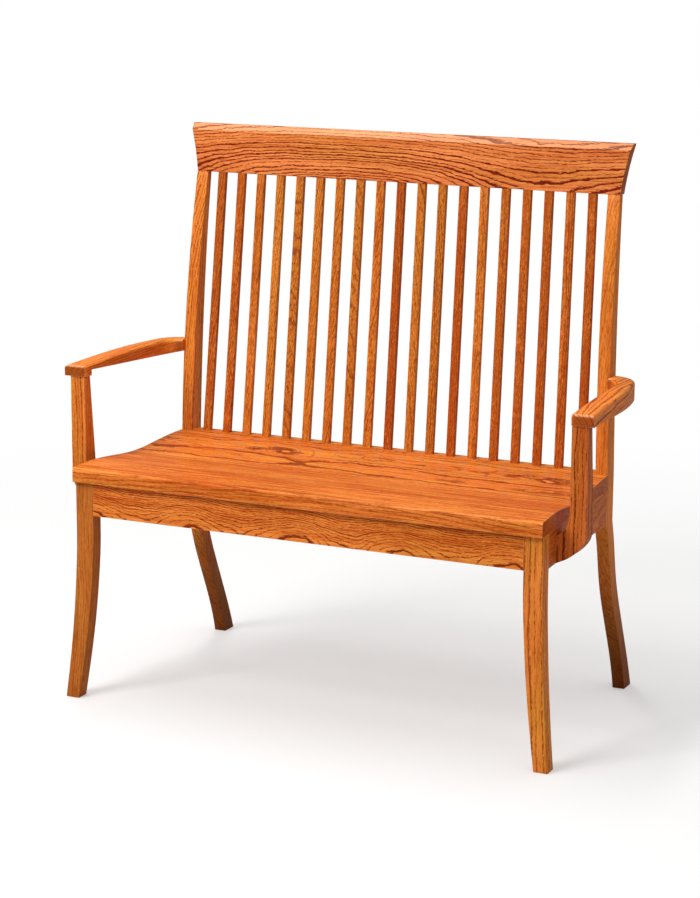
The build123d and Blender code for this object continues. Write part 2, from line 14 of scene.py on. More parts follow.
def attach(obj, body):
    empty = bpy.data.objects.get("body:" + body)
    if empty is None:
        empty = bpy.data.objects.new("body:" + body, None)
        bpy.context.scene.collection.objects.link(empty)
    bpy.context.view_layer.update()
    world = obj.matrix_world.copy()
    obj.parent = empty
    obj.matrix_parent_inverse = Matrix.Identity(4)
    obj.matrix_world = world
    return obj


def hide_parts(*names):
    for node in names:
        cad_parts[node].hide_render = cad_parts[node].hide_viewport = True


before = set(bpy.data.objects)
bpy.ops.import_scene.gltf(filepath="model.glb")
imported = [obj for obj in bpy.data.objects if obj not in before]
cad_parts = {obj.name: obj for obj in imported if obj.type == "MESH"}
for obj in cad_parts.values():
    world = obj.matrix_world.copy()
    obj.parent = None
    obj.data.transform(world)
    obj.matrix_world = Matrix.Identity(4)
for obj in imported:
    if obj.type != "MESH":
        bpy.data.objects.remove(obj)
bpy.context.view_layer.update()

BODY = "root"
PHOTO_SIZE = (700, 898)
MILLIMETRE = 0.001
LOG = logging.getLogger("settle")

Colour = tuple[float, float, float, float]
Point = tuple[float, float, float]


def srgb(red: int, green: int, blue: int) -> Colour:
    """Linear colour of a display colour.

    Args:
        red: Red from 0 to 255.
        green: Green from 0 to 255.
        blue: Blue from 0 to 255.

    Returns:
        The colour as Blender's sockets take it.
    """
    linear = []
    for value in (red, green, blue):
        share = value / 255
        linear.append(share / 12.92 if share <= 0.04045 else ((share + 0.055) / 1.055) ** 2.4)
    return (linear[0], linear[1], linear[2], 1.0)


class Wire:
    """An output socket on a bench, with the arithmetic that finishes are written in."""

    def __init__(self, bench: "Bench", socket: bpy.types.NodeSocket) -> None:
        """Wrap a socket of a bench's node tree."""
        self.bench = bench
        self.socket = socket

    def _computed(self, operation: str, *values: "Wire | float") -> "Wire":
        """Result of a Math node on some values."""
        return self.bench.add("ShaderNodeMath", {"operation": operation}, dict(enumerate(values)))

    def __add__(self, other: "Wire | float") -> "Wire":
        """Sum of two values."""
        return self._computed("ADD", self, other)

    __radd__ = __add__

    def __sub__(self, other: "Wire | float") -> "Wire":
        """This value less another."""
        return self._computed("SUBTRACT", self, other)

    def __rsub__(self, other: "Wire | float") -> "Wire":
        """Another value less this one."""
        return self._computed("SUBTRACT", other, self)

    def __mul__(self, other: "Wire | float") -> "Wire":
        """Product of two values."""
        return self._computed("MULTIPLY", self, other)

    __rmul__ = __mul__

    def __truediv__(self, other: "Wire | float") -> "Wire":
        """This value divided by another."""
        return self._computed("DIVIDE", self, other)

    def root(self) -> "Wire":
        """Square root of the value."""
        return self._computed("SQRT", self)

    def part(self) -> "Wire":
        """What is left of the value past its whole number."""
        return self._computed("FRACT", self)

    def whole(self) -> "Wire":
        """Whole number below the value."""
        return self._computed("FLOOR", self)

    def sine(self) -> "Wire":
        """Sine of the value."""
        return self._computed("SINE", self)

    def parts(self) -> tuple["Wire", ...]:
        """The three numbers of a vector."""
        first = self.bench.add("ShaderNodeSeparateXYZ", None, {0: self})
        return tuple(Wire(self.bench, socket) for socket in first.socket.node.outputs)

    def kept(self) -> "Wire":
        """The value held between 0 and 1."""
        return self.ramp(0, 1, smooth=False)

    def ramp(
        self, start: float, end: float, low: float = 0, high: float = 1, smooth: bool = True
    ) -> "Wire":
        """The value's place between two limits.

        Args:
            start: Value that gives low.
            end: Value that gives high.
            low: Result at the start.
            high: Result at the end.
            smooth: Whether the change is eased at its ends.

        Returns:
            The result, held between low and high.
        """
        settings = {"interpolation_type": "SMOOTHSTEP" if smooth else "LINEAR", "clamp": True}
        sockets = {0: self, 1: start, 2: end, 3: low, 4: high}
        return self.bench.add("ShaderNodeMapRange", settings, sockets)


class Bench:
    """A node tree, in a material or in a modifier, that nodes are added to in one way."""

    def __init__(self, tree: bpy.types.NodeTree) -> None:
        """Take a tree to work on."""
        self.tree = tree

    def add(
        self,
        kind: str,
        settings: dict | None = None,
        sockets: dict | None = None,
        out: int | str = 0,
    ) -> Wire:
        """Add a node, with its settings made first and its sockets after them.

        Args:
            kind: Type of the node.
            settings: Properties of the node, such as a Math node's operation.
            sockets: Values or wires for its inputs, by name or number. A list holds wires that
                all go into one input.
            out: Name or number of the output that is wanted.

        Returns:
            The wanted output, which holds nothing for a node that only takes things in.
        """
        node = self.tree.nodes.new(kind)
        for name, value in (settings or {}).items():
            setattr(node, name, value)
        for name, value in (sockets or {}).items():
            for wire in value if isinstance(value, list) else [value]:
                if isinstance(wire, Wire):
                    self.tree.links.new(wire.socket, node.inputs[name])
                else:
                    node.inputs[name].default_value = wire
        return Wire(self, node.outputs[out] if len(node.outputs) else None)

    def on_vectors(self, operation: str, *vectors: Wire | Point) -> Wire:
        """Result of a Vector Math node: a number for a dot product or length, else a vector.

        Args:
            operation: What the node does.
            vectors: Vectors that it does it to.

        Returns:
            The result.
        """
        settings = {"operation": operation}
        out = "Value" if operation in ("DOT_PRODUCT", "LENGTH") else "Vector"
        return self.add("ShaderNodeVectorMath", settings, dict(enumerate(vectors)), out)

    def scaled(self, vector: Wire, factor: Wire | float) -> Wire:
        """Vector times a number."""
        sockets = {0: vector, "Scale": factor}
        return self.add("ShaderNodeVectorMath", {"operation": "SCALE"}, sockets, "Vector")

    def vector(self, x: Wire | float, y: Wire | float, z: Wire | float) -> Wire:
        """Vector from three numbers."""
        return self.add("ShaderNodeCombineXYZ", None, {0: x, 1: y, 2: z})

    def blend(self, share: Wire | float, first: Wire | Colour, second: Wire | Colour) -> Wire:
        """Mix of two colours.

        Args:
            share: How much of the second colour there is.
            first: First colour.
            second: Second colour.

        Returns:
            The mixed colour.
        """
        settings = {"data_type": "RGBA", "blend_type": "MIX", "clamp_factor": True}
        return self.add("ShaderNodeMix", settings, {0: share, 6: first, 7: second}, 2)


def shading(data: bpy.types.Material | bpy.types.World) -> Bench:
    """Bench on the emptied node tree of a new material or world.

    Args:
        data: The material or world.

    Returns:
        The bench.
    """
    data.use_nodes = True
    data.node_tree.nodes.clear()
    return Bench(data.node_tree)


def linked(name: str, data: bpy.types.ID) -> bpy.types.Object:
    """New object in the scene.

    Args:
        name: Name of the object.
        data: Mesh, light or camera that it shows.

    Returns:
        The object.
    """
    item = bpy.data.objects.new(name, data)
    bpy.context.collection.objects.link(item)
    return item


class Lie(Enum):
    """Way that the grain of a piece runs, as the turn from upright."""

    ACROSS = (0.0, 90.0, 0.0)
    BACKWARDS = (-90.0, 0.0, 0.0)
    UPRIGHT = (0.0, 0.0, 0.0)

    def way(self) -> Point:
        """Direction of the grain in the piece."""
        axis = (Lie.ACROSS, Lie.BACKWARDS, Lie.UPRIGHT).index(self)
        return tuple(1.0 if number == axis else 0.0 for number in range(3))


@dataclass(frozen=True)
class Stain:
    """Colours of one run of stained oak."""

    light: Colour
    middle: Colour
    dark: Colour
    pore: Colour
    gold: Colour
    # Pale colour of worn edges and of painted highlights.
    pale: Colour = srgb(248, 184, 136)


HONEY = Stain(
    srgb(252, 148, 64), srgb(208, 90, 20), srgb(130, 36, 0), srgb(78, 20, 0), srgb(232, 150, 56)
)
AMBER = Stain(
    srgb(246, 144, 60), srgb(198, 90, 16), srgb(122, 38, 0), srgb(74, 22, 0), srgb(226, 146, 50)
)
RUSSET = Stain(
    srgb(228, 122, 54), srgb(180, 74, 18), srgb(110, 30, 2), srgb(64, 17, 1), srgb(206, 126, 44)
)
BROWN = Stain(
    srgb(212, 120, 48), srgb(166, 80, 16), srgb(104, 40, 2), srgb(66, 24, 1), srgb(198, 126, 44)
)
ROSE = Stain(
    srgb(246, 146, 80), srgb(202, 90, 34), srgb(118, 30, 4), srgb(76, 18, 2), srgb(226, 144, 66)
)
SLAT_BROWN = srgb(158, 82, 40)

# Way that a face looks where it gets a painted highlight: faces turned up and to the front are
# painted pale, as if they reflected a lamp above.
HIGHLIGHT_WAY: Point = (0.0, -0.6, 0.8)

# Size of the patches of each noise in the oak, in millimetres across, over and along the grain.
FIBRE_SIZE: Point = (2.2, 2.2, 42.0)
FLECK_SIZE: Point = (1.6, 1.6, 9.0)
STREAK_SIZE: Point = (7.0, 7.0, 260.0)
CLOUD_SIZE: Point = (60.0, 60.0, 420.0)
PORE_SIZE: Point = (0.7, 0.7, 11.0)
HAIR_SIZE: Point = (1.7, 1.7, 120.0)
GOLD_SIZE: Point = (34.0, 34.0, 300.0)
DASH_SIZE: Point = (0.9, 7.0, 0.9)

# Width of what bends and what ripples the rings, and how the rings' width varies outwards.
SWAY_WIDTH = 90.0
RIPPLE_WIDTH = 16.0
UNEVEN_SIZE: Point = (26.0, 900.0, 900.0)

# How far apart the slats' places in the tree lie: across, over and along the grain.
SLAT_SPREAD: Point = (320.0, 60.0, 900.0)

# Lacquer over the stain, on the shader's own sockets.
LACQUER = {
    "IOR": 1.4,
    "Specular IOR Level": 0.06,
    "Coat Weight": 0.12,
    "Coat Roughness": 0.27,
    "Coat IOR": 1.42,
}


@dataclass(frozen=True)
class Oak:
    """Stained and lacquered oak, cut from its own place in a tree.

    Lengths are in millimetres, apart from the heart, the width of the pale edges, the height of
    the bump and the top of the painted shade at the foot, which are in metres.
    """

    name: str
    lie: Lie
    heart: Point
    tilt: tuple[float, float] = (0.0, 0.0)
    stain: Stain = AMBER
    ring: float = 4.5
    sway: float = 5.0
    sway_length: float = 260.0
    ripple: float = 1.2
    ripple_length: float = 60.0
    bands: float = 0.75
    solid: float = 0.78
    hairs: float = 0.35
    streaks: float = 0.5
    pores: float = 0.5
    crook: tuple[float, float, float] = (0.0, 900.0, 0.0)
    # Painted shade towards the foot: its darkest share, and the height in metres where it ends.
    painted_foot_shade: tuple[float, float] = (0.0, 0.4)
    end_tone: float = 0.45
    # Pale edges: partly edge wear, partly a painted highlight where rounded edges would catch the
    # light.
    wear_and_highlight: float = 0.4
    wear_and_highlight_width: float = 2.5 * MILLIMETRE
    # Strength of the painted highlight on faces turned up and to the front.
    painted_highlight: float = 0.0
    bars: str = ""
    roughness: float = 0.42
    bump_height: float = 0.4 * MILLIMETRE

    def material(self) -> bpy.types.Material:
        """Node material of this oak.

        Returns:
            The material, ready to be given to a piece.
        """
        material = bpy.data.materials.new(self.name)
        bench = shading(material)
        across, over, along, tone = self._places(bench)
        place = (across, over, along)
        band, edge = self._rings(bench, across, over, along)
        fibre = self._noise(bench, place, FIBRE_SIZE, detail=3.0)
        fleck = self._noise(bench, place, FLECK_SIZE, detail=2.0)
        streak = self._noise(bench, place, STREAK_SIZE, detail=2.0)
        cloud = self._noise(bench, place, CLOUD_SIZE, detail=1.0)
        pore = self._noise(bench, place, PORE_SIZE, detail=1.0).ramp(0.56, 0.7) * (0.3 + 0.7 * band)
        hair = self._noise(bench, place, HAIR_SIZE, detail=2.0).ramp(0.52, 0.7)
        golden = self._noise(bench, (over, across, along), GOLD_SIZE, detail=1.0).ramp(0.4, 0.7)
        dash = self._noise(bench, (over, along, across), DASH_SIZE, detail=1.0)

        # How dark the wood is between its bands, from the fine grain to the broad patches.
        grain = streak.ramp(0.3, 0.7) * 0.4 + fibre.ramp(0.32, 0.68) * 0.35
        grain = grain + fleck.ramp(0.35, 0.65) * 0.25
        patches = cloud.ramp(0.3, 0.7, -0.2, 0.25) + tone.ramp(0, 1, -0.2, 0.45)
        body = grain * self.streaks * 2 + patches

        # The dark bands, broken up along their length.
        broken = (fibre - 0.5) * 0.8 + (fleck - 0.5) * 0.7 + (dash - 0.5) * 1.4
        ragged = (band * self.solid + broken).ramp(0.24, 0.62)

        colour = bench.blend(golden * 0.7, self.stain.light, self.stain.gold)
        colour = bench.blend(body.kept(), colour, self.stain.middle)
        if self.bars:
            second = (tone * 7.3).part()
            colour = bench.blend(second.ramp(0.2, 0.9, 0, 0.6), colour, self.stain.gold)
            colour = bench.blend(fleck.ramp(0.42, 0.6) * (0.25 + 0.5 * tone), colour, SLAT_BROWN)
        colour = bench.blend((hair * self.hairs).kept(), colour, self.stain.dark)
        colour = bench.blend((ragged * self.bands).kept(), colour, self.stain.dark)
        colour = bench.blend((pore * self.pores).kept(), colour, self.stain.pore)
        colour = self._used(bench, colour, streak, ragged)

        height = 1 - pore * 0.8 - band * 0.25 - edge * 0.1 + fibre * 0.15
        bump = {"Height": height, "Strength": 0.35, "Distance": self.bump_height}
        roughness = self.roughness + pore * 0.22 + band * 0.06 + (streak - 0.5) * 0.08
        sockets = {
            "Base Color": colour,
            "Roughness": roughness.kept(),
            "Normal": bench.add("ShaderNodeBump", None, bump),
        }
        shader = bench.add("ShaderNodeBsdfPrincipled", None, sockets | LACQUER)
        bench.add("ShaderNodeOutputMaterial", None, {"Surface": shader})
        return material

    def _used(self, bench: Bench, colour: Wire, streak: Wire, ragged: Wire) -> Wire:
        """Colour with dark end grain and painted light: pale edges that are partly wear and partly
        painted highlight, a painted highlight on faces turned up, and painted shade at the foot.

        Args:
            bench: Bench of the material.
            colour: Colour of the oak by itself.
            streak: Noise of long streaks.
            ragged: Strength of the dark bands.

        Returns:
            The colour of the used piece.
        """
        facing = bench.add("ShaderNodeTexCoord", None, None, "Normal")
        end = bench.on_vectors("DOT_PRODUCT", facing, self.lie.way())
        colour = bench.blend((end * end).ramp(0.35, 0.8) * self.end_tone, colour, self.stain.dark)
        # Pale edges from the Bevel node: partly edge wear and partly a painted highlight along the
        # edges.
        if self.wear_and_highlight:
            eased = bench.add("ShaderNodeBevel", {"samples": 4}, {"Radius": self.wear_and_highlight_width})
            flat = bench.add("ShaderNodeNewGeometry", None, None, "Normal")
            turned = (1 - bench.on_vectors("DOT_PRODUCT", eased, flat)).ramp(0.01, 0.2)
            worn_and_lit = turned * (0.35 + 0.65 * streak.ramp(0.35, 0.6)) * self.wear_and_highlight
            colour = bench.blend(worn_and_lit, colour, self.stain.pale)
        # Painted highlight: faces turned up and to the front are painted pale, standing in for a
        # lamp's reflection.
        if self.painted_highlight:
            towards = bench.on_vectors("DOT_PRODUCT", facing, HIGHLIGHT_WAY)
            highlight_share = towards.ramp(0.86, 0.97) * (1 - 0.55 * ragged * self.bands) * self.painted_highlight
            colour = bench.blend(highlight_share.kept(), colour, self.stain.pale)
        # Painted shade: the colour darkens towards the foot, standing in for the seat's shade on
        # the rear legs.
        deepest_shade, top = self.painted_foot_shade
        if deepest_shade:
            level = bench.add("ShaderNodeTexCoord", None, None, "Object").parts()[2]
            colour = bench.blend(level.ramp(0.0, top, deepest_shade, 0.0), colour, self.stain.pore)
        return colour

    def _places(self, bench: Bench) -> tuple[Wire, Wire, Wire, Wire]:
        """Places in the tree: two across the grain and one along it, in millimetres.

        Args:
            bench: Bench of the material.

        Returns:
            The two places across, the place along, and the tone of the bar.
        """
        spot = bench.add("ShaderNodeTexCoord", None, None, "Object")
        turn = [math.radians(angle) for angle in self.lie.value]
        turn[0] += math.radians(self.tilt[0])
        turn[2 if self.lie is Lie.BACKWARDS else 1] += math.radians(self.tilt[1])
        mapping = {"Vector": spot, "Location": self.heart, "Rotation": tuple(turn)}
        mapping["Scale"] = (MILLIMETRE, MILLIMETRE, MILLIMETRE)
        place = bench.add("ShaderNodeMapping", {"vector_type": "TEXTURE"}, mapping).parts()
        if not self.bars:
            return (*place, place[2] * 0.0)
        bar = bench.add("ShaderNodeAttribute", {"attribute_name": self.bars}, None, "Fac")
        return (*(part + bar * step for part, step in zip(place, SLAT_SPREAD)), bar)

    def _noise(self, bench: Bench, place: Sequence[Wire], size: Point, detail: float) -> Wire:
        """Soft noise whose patches have a size.

        Args:
            bench: Bench of the material.
            place: Place across, over and along the grain.
            size: Size of a patch in the same three directions.
            detail: How much finer noise lies in it.

        Returns:
            A value from 0 to 1.
        """
        spot = bench.vector(*(part * (1 / step) for part, step in zip(place, size)))
        sockets = {"Vector": spot, "Scale": 1.0, "Detail": detail, "Roughness": 0.55}
        return bench.add("ShaderNodeTexNoise", {"noise_dimensions": "3D"}, sockets)

    def _rings(self, bench: Bench, across: Wire, over: Wire, along: Wire) -> tuple[Wire, Wire]:
        """Year rings: a porous dark band that starts sharply and fades.

        Args:
            bench: Bench of the material.
            across: First place across the grain.
            over: Second place across the grain.
            along: Place along the grain.

        Returns:
            The strength of the dark band, and of the sharp edge it starts with.
        """
        place, turned = (across, over, along), (over, along, across)
        sway_size = (SWAY_WIDTH, SWAY_WIDTH, self.sway_length)
        turned_size = (SWAY_WIDTH, self.sway_length, SWAY_WIDTH)
        ripple_size = (RIPPLE_WIDTH, RIPPLE_WIDTH, self.ripple_length)
        wander = self._noise(bench, place, sway_size, detail=2.0)
        wander_over = self._noise(bench, turned, turned_size, detail=2.0)
        ripple = self._noise(bench, place, ripple_size, detail=2.0)
        reach, length, start = self.crook
        bend = ((along / length + start) * math.tau).sine() * reach
        first = across + (wander - 0.5) * (4 * self.sway)
        second = over + bend + (wander_over - 0.5) * (4 * self.sway)
        radius = (first * first + second * second).root() + (ripple - 0.5) * (4 * self.ripple)
        uneven = self._noise(bench, (radius, radius, radius), UNEVEN_SIZE, detail=1.0)
        years = radius / self.ring + uneven * 3
        share = years.part()
        year = {"W": years.whole()}
        strength = bench.add("ShaderNodeTexWhiteNoise", {"noise_dimensions": "1D"}, year)
        band = share.ramp(0.0, 0.1) * share.ramp(0.12, strength * 0.6 + 0.3, 1, 0)
        edge = share.ramp(0.0, 0.08) * share.ramp(0.08, 0.3, 1, 0)
        return band * (0.5 + 0.5 * strength), edge


@dataclass(frozen=True)
class Steel:
    """Zinc-plated steel of the screws."""

    name: str = "screw_zinc"
    dull: Colour = srgb(150, 146, 132)
    bright: Colour = srgb(196, 192, 180)
    blotch_scale: float = 900.0
    scratch_scale: float = 4000.0
    bump_height: float = 0.1 * MILLIMETRE

    def material(self) -> bpy.types.Material:
        """Node material of the screws.

        Returns:
            The material.
        """
        material = bpy.data.materials.new(self.name)
        bench = shading(material)
        spot = bench.add("ShaderNodeTexCoord", None, None, "Object")
        patches = {"Vector": spot, "Scale": self.blotch_scale, "Detail": 3.0}
        lines = {"Vector": spot, "Scale": self.scratch_scale, "Detail": 1.0}
        blotch = bench.add("ShaderNodeTexNoise", None, patches)
        scratch = bench.add("ShaderNodeTexNoise", None, lines)
        bump = {"Height": scratch, "Strength": 0.2, "Distance": self.bump_height}
        sockets = {
            "Base Color": bench.blend(blotch, self.dull, self.bright),
            "Metallic": 1.0,
            "Roughness": blotch.ramp(0.2, 0.8, 0.28, 0.5),
            "Normal": bench.add("ShaderNodeBump", None, bump),
        }
        shader = bench.add("ShaderNodeBsdfPrincipled", None, sockets)
        bench.add("ShaderNodeOutputMaterial", None, {"Surface": shader})
        return material


# What eases the edges: corners that are merged first, the least angle and the steps of a round.
WELD_REACH = 0.02 * MILLIMETRE
EASED_ANGLE = math.radians(40)
EASED_STEPS = 2


def dress(node: str, finish: Oak, easing: float) -> None:
    """Give a piece of the frame its oak and eased edges.

    Args:
        node: Name of the piece.
        finish: Its oak.
        easing: Width of the eased edge in metres, or 0 for none.
    """
    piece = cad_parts[node]
    material = bpy.data.materials.get(finish.name) or finish.material()
    for slot in piece.material_slots:
        slot.material = material
    if not piece.material_slots:
        piece.data.materials.append(material)
    if easing:
        weld = piece.modifiers.new("merge", "WELD")
        weld.merge_threshold = WELD_REACH
        bevel = piece.modifiers.new("easing", "BEVEL")
        bevel.width = easing
        bevel.segments = EASED_STEPS
        bevel.limit_method = "ANGLE"
        bevel.angle_limit = EASED_ANGLE
        bevel.use_clamp_overlap = True
        bevel.harden_normals = False
    LOG.info("%s: %s", node, finish.name)


@dataclass
class Crest:
    """Top rail and lower rail of the back."""

    # The crest's top bevel gets a painted highlight.
    crest: Oak = Oak(
        "crest_oak", Lie.ACROSS, (0.0, 0.208, 0.955), stain=ROSE, ring=5.2,
        sway=3.0, sway_length=200.0, ripple=1.5, ripple_length=34.0, bands=1.0, solid=1.0,
        hairs=0.3, streaks=0.55, crook=(-30.0, 900.0, -0.0945), painted_highlight=0.42,
    )
    rail: Oak = Oak("rail_oak", Lie.ACROSS, (0.0, 0.2, 0.3), stain=AMBER, ring=4.0)
    easing: float = 1.2 * MILLIMETRE

    def build(self) -> None:
        """Dress both rails."""
        dress("crest_rail", self.crest, self.easing)
        dress("lower_back_rail", self.rail, self.easing)


@dataclass
class Seat:
    """Scooped seat of four boards and the aprons under it."""

    boards: tuple[Oak, ...] = (
        Oak(
            "seat_oak_1", Lie.ACROSS, (0.0, 0.02, 0.30), stain=HONEY, ring=3.6,
            sway=3.0, sway_length=700.0, ripple=0.5, bands=0.5,
            hairs=0.8, streaks=0.66, crook=(8.0, 1100.0, 0.2),
        ),
        Oak(
            "seat_oak_2", Lie.ACROSS, (0.0, -0.30, 0.33), stain=HONEY, ring=3.4,
            sway=3.5, sway_length=500.0, ripple=0.8, ripple_length=40.0, bands=0.5,
            hairs=0.8, streaks=0.7, crook=(10.0, 1300.0, 0.7),
        ),
        Oak(
            "seat_oak_3", Lie.ACROSS, (0.0, -0.015, 0.27), stain=HONEY, ring=3.0,
            sway=2.2, sway_length=190.0, ripple=0.6, ripple_length=50.0, bands=0.85,
            hairs=0.6, streaks=0.66, crook=(-8.0, 1300.0, 0.35),
        ),
        Oak(
            "seat_oak_4", Lie.ACROSS, (0.0, 0.055, 0.27), stain=HONEY, ring=2.9,
            sway=2.8, sway_length=150.0, ripple=0.6, ripple_length=50.0, bands=0.95,
            hairs=0.6, streaks=0.62, crook=(-10.0, 900.0, 0.15),
        ),
    )
    apron: Oak = Oak(
        "apron_oak", Lie.ACROSS, (0.0, -0.217, 0.358), stain=HONEY, ring=2.8,
        sway=2.4, sway_length=80.0, ripple=0.6, ripple_length=20.0, bands=0.95, solid=0.9,
        hairs=0.4, streaks=0.66, crook=(5.5, 215.0, 0.3),
    )
    side_aprons: Oak = Oak(
        "side_apron_oak", Lie.BACKWARDS, (0.2, 0.0, 0.36), stain=RUSSET, ring=5.0, bands=0.4
    )
    inner: Oak = Oak("block_oak", Lie.ACROSS, (0.0, -0.3, 0.2), stain=BROWN, ring=5.0, bands=0.5)
    easing: float = 1.0 * MILLIMETRE

    def build(self) -> None:
        """Dress the seat, its aprons and what holds them from inside."""
        for number, board in enumerate(self.boards, start=1):
            dress(f"seat_board_{number}", board, 0)
        dress("front_apron", self.apron, self.easing)
        for side in ("left", "right"):
            dress(f"side_apron_{side}", self.side_aprons, self.easing)
            dress(f"front_corner_block_{side}", self.inner, self.easing)
            dress(f"rear_corner_block_{side}", self.inner, self.easing)
        dress("seat_brace", self.inner, self.easing)


@dataclass
class Uprights:
    """Front legs, back posts and arm posts."""

    leg_left: Oak = Oak(
        "leg_left_oak", Lie.UPRIGHT, (-0.37, -0.37, 0.0), stain=BROWN, ring=4.0, bands=0.4
    )
    leg_right: Oak = Oak(
        "leg_right_oak", Lie.UPRIGHT, (0.37, -0.40, 0.2), stain=AMBER, ring=5.0,
        sway=3.0, sway_length=420.0, ripple_length=90.0,
    )
    # The back posts get painted shade at their feet, darker towards the floor.
    post_left: Oak = Oak(
        "post_left_oak", Lie.UPRIGHT, (-0.36, 0.05, 0.5), stain=AMBER, ring=4.0,
        painted_foot_shade=(0.75, 0.42), wear_and_highlight=0.0,
    )
    post_right: Oak = Oak(
        "post_right_oak", Lie.UPRIGHT, (0.50, 0.05, 0.5), stain=AMBER, ring=4.5, bands=0.4,
        painted_foot_shade=(0.75, 0.42), wear_and_highlight=0.0,
    )
    arm_left: Oak = Oak(
        "arm_post_left_oak", Lie.UPRIGHT, (-0.44, -0.10, 0.5), stain=AMBER, ring=4.0
    )
    arm_right: Oak = Oak(
        "arm_post_right_oak", Lie.UPRIGHT, (0.45, -0.13, 0.5), tilt=(0.0, 2.0),
        stain=RUSSET, ring=5.0, bands=0.95,
    )
    easing: float = 1.2 * MILLIMETRE

    def build(self) -> None:
        """Dress the legs and posts."""
        finishes = {
            "front_leg_left": self.leg_left,
            "front_leg_right": self.leg_right,
            "back_post_left": self.post_left,
            "back_post_right": self.post_right,
            "arm_post_left": self.arm_left,
            "arm_post_right": self.arm_right,
        }
        for node, finish in finishes.items():
            dress(node, finish, self.easing)


@dataclass
class Arms:
    """Armrests and the dowels that hold them to the back."""

    # The armrests' rounded front edges get a painted highlight.
    left: Oak = Oak(
        "armrest_left_oak", Lie.BACKWARDS, (-0.45, 0.0, 0.58), stain=AMBER, ring=5.0,
        bands=0.45, painted_highlight=0.4, end_tone=0.7,
    )
    right: Oak = Oak(
        "armrest_right_oak", Lie.BACKWARDS, (0.47, 0.0, 0.58), stain=HONEY, ring=5.0,
        painted_highlight=0.4, end_tone=0.7,
    )
    dowels: Oak = Oak("dowel_oak", Lie.ACROSS, (0.0, 0.1, 0.6), stain=BROWN, ring=5.0)

    def build(self) -> None:
        """Dress the armrests and the dowels."""
        dress("armrest_left", self.left, 0)
        dress("armrest_right", self.right, 0)
        dress("arm_dowels", self.dowels, 0)


def plain_mesh(holder: bpy.types.Object, name: str) -> bpy.types.Object:
    """Turn an object with a node modifier into a plain mesh.

    Args:
        holder: Object with the modifier.
        name: Name of the new piece.

    Returns:
        The new piece; the holder is gone.
    """
    graph = bpy.context.evaluated_depsgraph_get()
    mesh = bpy.data.meshes.new_from_object(holder.evaluated_get(graph))
    mesh.name = name
    piece = linked(name, mesh)
    bpy.data.objects.remove(holder)
    return piece


class Pattern:
    """A tree of Geometry Nodes with named inputs."""

    def __init__(self, name: str) -> None:
        """Start a tree with one geometry that comes in and one that goes out.

        Args:
            name: Name of the tree.
        """
        self.tree = bpy.data.node_groups.new(name, "GeometryNodeTree")
        self.bench = Bench(self.tree)
        for way in ("INPUT", "OUTPUT"):
            self.tree.interface.new_socket(
                "Geometry", in_out=way, socket_type="NodeSocketGeometry"
            )
        self.values: dict[str, object] = {}
        self.inlet = self.bench.add("NodeGroupInput").socket.node

    def source(self) -> Wire:
        """Geometry that comes in."""
        return Wire(self.bench, self.inlet.outputs[0])

    def size(self, name: str, value: object, kind: str = "NodeSocketFloat") -> Wire:
        """Add a named input.

        Args:
            name: Name of the input.
            value: Its value.
            kind: Type of its socket.

        Returns:
            The input as a wire.
        """
        self.tree.interface.new_socket(name, in_out="INPUT", socket_type=kind)
        self.values[name] = value
        return Wire(self.bench, self.inlet.outputs[name])

    def finish(self, shape: Wire, material: Wire) -> None:
        """End the tree with plain geometry in its material.

        Args:
            shape: What the tree has made.
            material: The material that it gets.
        """
        real = self.bench.add("GeometryNodeRealizeInstances", None, {0: shape})
        sockets = {"Geometry": real, "Material": material}
        dressed = self.bench.add("GeometryNodeSetMaterial", None, sockets)
        self.bench.add("NodeGroupOutput", None, {0: dressed})

    def make(self, name: str, mesh: bpy.types.Mesh) -> bpy.types.Object:
        """Run the tree on a mesh and keep the result as a plain piece.

        Args:
            name: Name of the piece.
            mesh: Mesh that the tree starts from.

        Returns:
            The piece.
        """
        holder = linked(f"{name}_holder", mesh)
        modifier = holder.modifiers.new("pattern", "NODES")
        modifier.node_group = self.tree
        for item in self.tree.interface.items_tree:
            if item.item_type == "SOCKET" and item.in_out == "INPUT" and item.name in self.values:
                modifier[item.identifier] = self.values[item.name]
        return plain_mesh(holder, name)


# How far the frame's origin lies behind the front edge of the seat, in millimetres.
FRAME_MIDDLE = 279.3875


